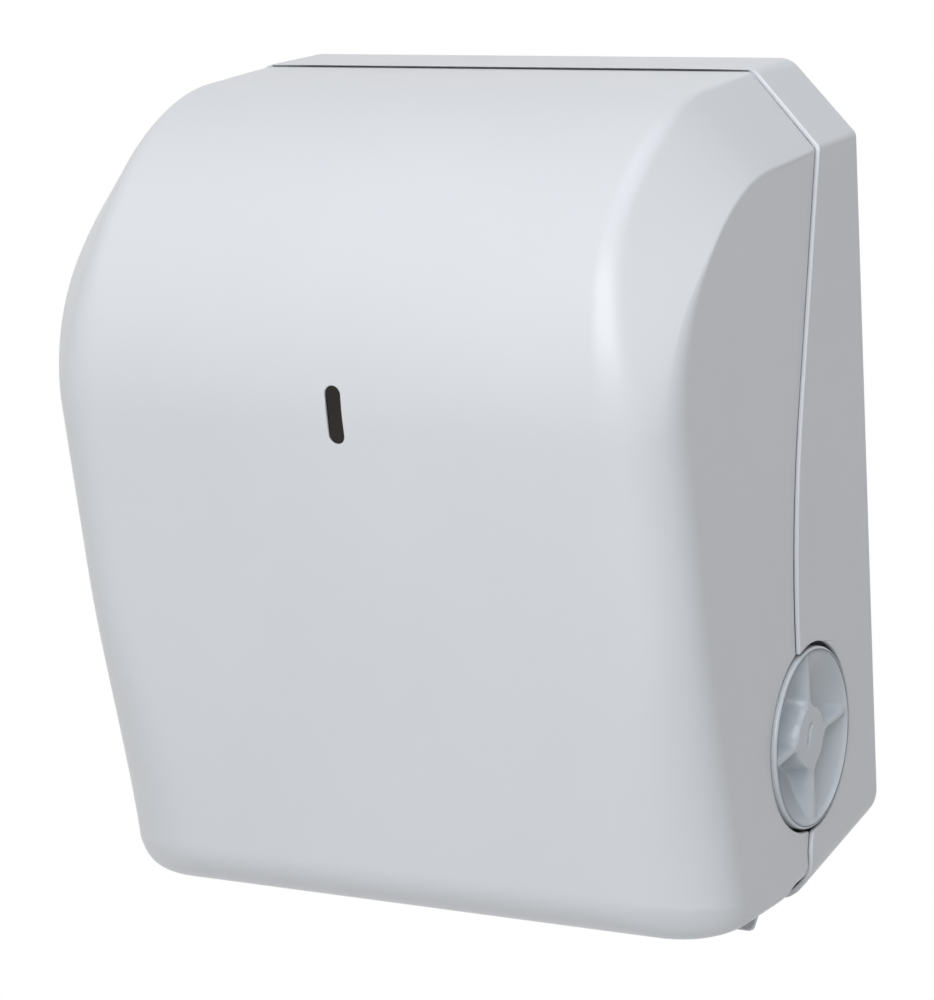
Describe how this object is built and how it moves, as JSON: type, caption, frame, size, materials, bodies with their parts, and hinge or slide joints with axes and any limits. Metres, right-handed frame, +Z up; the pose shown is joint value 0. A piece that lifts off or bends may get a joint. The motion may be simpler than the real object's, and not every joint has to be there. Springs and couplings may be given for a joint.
{
  "type": "autocut paper towel dispenser",
  "caption": "Wall dispenser for rolled paper towels: a white case with a hinged cover, a side feed knob, and a drum whose swinging knife cuts each pulled sheet.",
  "frame": {"origin": "centre of the four wall screws, on the wall plane at the back of the case", "axes": "+Z up, -Y out of the wall to the front, +X to the right of someone facing it, where the feed knob is"},
  "size_m": [0.3369, 0.2195, 0.4015],
  "materials": {
    "case_white": "gloss white moulding",
    "knob_white": "satin cool white moulding",
    "smoked_lens": "smoked clear moulding",
    "steel": "plain zinc plate",
    "frame_grey": "matte grey moulding",
    "track_dark": "matte dark grey moulding",
    "nylon": "natural white moulding",
    "rubber": "ground rubber"
  },
  "bodies": {
    "base": {"rear_case": "case_white", "hinge_pins": "steel", "exit_lip": "case_white", "exit_lip_screws": "steel", "lock_housing": "steel", "lock_ring_nut": "steel", "side_plate_left": "frame_grey", "side_plate_right": "frame_grey", "frame_screws": "steel", "tie_rods": "steel", "tie_rod_screws": "steel", "cam_track_left": "track_dark", "cam_track_right": "track_dark", "shaft_bushes": "nylon", "spring_post": "steel", "return_spring": "steel", "pinch_springs": "steel", "arm_pins": "steel", "arm_springs": "steel"},
    "cover": {"front_cover": "case_white", "level_window": "smoked_lens"},
    "lock": {"lock_plug": "steel", "lock_cam": "steel", "lock_cam_nut": "steel"},
    "drum": {"drum_shell": "case_white", "grip_bands": "rubber", "drum_end_left": "case_white", "drum_end_right": "case_white", "drum_shaft": "steel", "feed_knob": "knob_white", "knob_pin": "steel", "crank_disc": "steel", "crank_pin": "steel"},
    "knife": {"knife_holder": "track_dark", "knife_blade": "steel", "blade_screws": "steel", "knife_pivot": "steel", "cam_levers": "steel", "cam_rollers": "nylon"},
    "pinch_carriage": {"pinch_blocks": "nylon"},
    "pinch_roller": {"pinch_sleeve": "rubber", "pinch_shaft": "steel"},
    "arm_left": {"roll_arm_left": "frame_grey", "hub_axle_left": "steel", "hub_clip_left": "steel"},
    "arm_right": {"roll_arm_right": "frame_grey", "hub_axle_right": "steel", "hub_clip_right": "steel"},
    "hub_left": {"roll_hub_left": "frame_grey"},
    "hub_right": {"roll_hub_right": "frame_grey"}
  },
  "joints": [
    {"name": "cover_hinge", "type": "hinge", "parent": "base", "child": "cover", "pos_m": [0, -0.094, -0.183], "axis": [1, 0, 0], "range_deg": [0, 95]},
    {"name": "lock_turn", "type": "hinge", "parent": "base", "child": "lock", "pos_m": [-0.16, -0.058, 0], "axis": [1, 0, 0], "range_deg": [-90, 0]},
    {"name": "drum_spin", "type": "hinge", "parent": "base", "child": "drum", "pos_m": [0, -0.0795, -0.115], "axis": [1, 0, 0], "continuous": true, "deforming": ["return_spring"]},
    {"name": "knife_swing", "type": "hinge", "parent": "drum", "child": "knife", "pos_m": [0, -0.0995, -0.092], "axis": [1, 0, 0], "range_deg": [-45, 0]},
    {"name": "pinch_lift", "type": "slide", "parent": "base", "child": "pinch_carriage", "axis": [0, 0.7071, 0.7071], "range_m": [0, 0.004], "stiffness_N_per_m": 800, "springref_m": -0.004, "deforming": ["pinch_springs"]},
    {"name": "pinch_spin", "type": "hinge", "parent": "pinch_carriage", "child": "pinch_roller", "pos_m": [0, -0.04322, -0.07873], "axis": [1, 0, 0], "continuous": true},
    {"name": "arm_left_swing", "type": "hinge", "parent": "base", "child": "arm_left", "pos_m": [-0.116, -0.014, 0.0765], "axis": [0, 0, 1], "range_deg": [-18, 0], "stiffness_Nm_per_rad": 0.5, "springref_deg": 11.46},
    {"name": "arm_right_swing", "type": "hinge", "parent": "base", "child": "arm_right", "pos_m": [0.116, -0.014, 0.0765], "axis": [0, 0, 1], "range_deg": [0, 18], "stiffness_Nm_per_rad": 0.5, "springref_deg": -11.46},
    {"name": "hub_left_spin", "type": "hinge", "parent": "arm_left", "child": "hub_left", "pos_m": [-0.104, -0.107, 0.0765], "axis": [1, 0, 0], "continuous": true},
    {"name": "hub_right_spin", "type": "hinge", "parent": "arm_right", "child": "hub_right", "pos_m": [0.104, -0.107, 0.0765], "axis": [1, 0, 0], "continuous": true}
  ],
  "couplings": [
    {"joint": "pinch_spin", "follows": "drum_spin", "ratio": -3.6364}
  ]
}
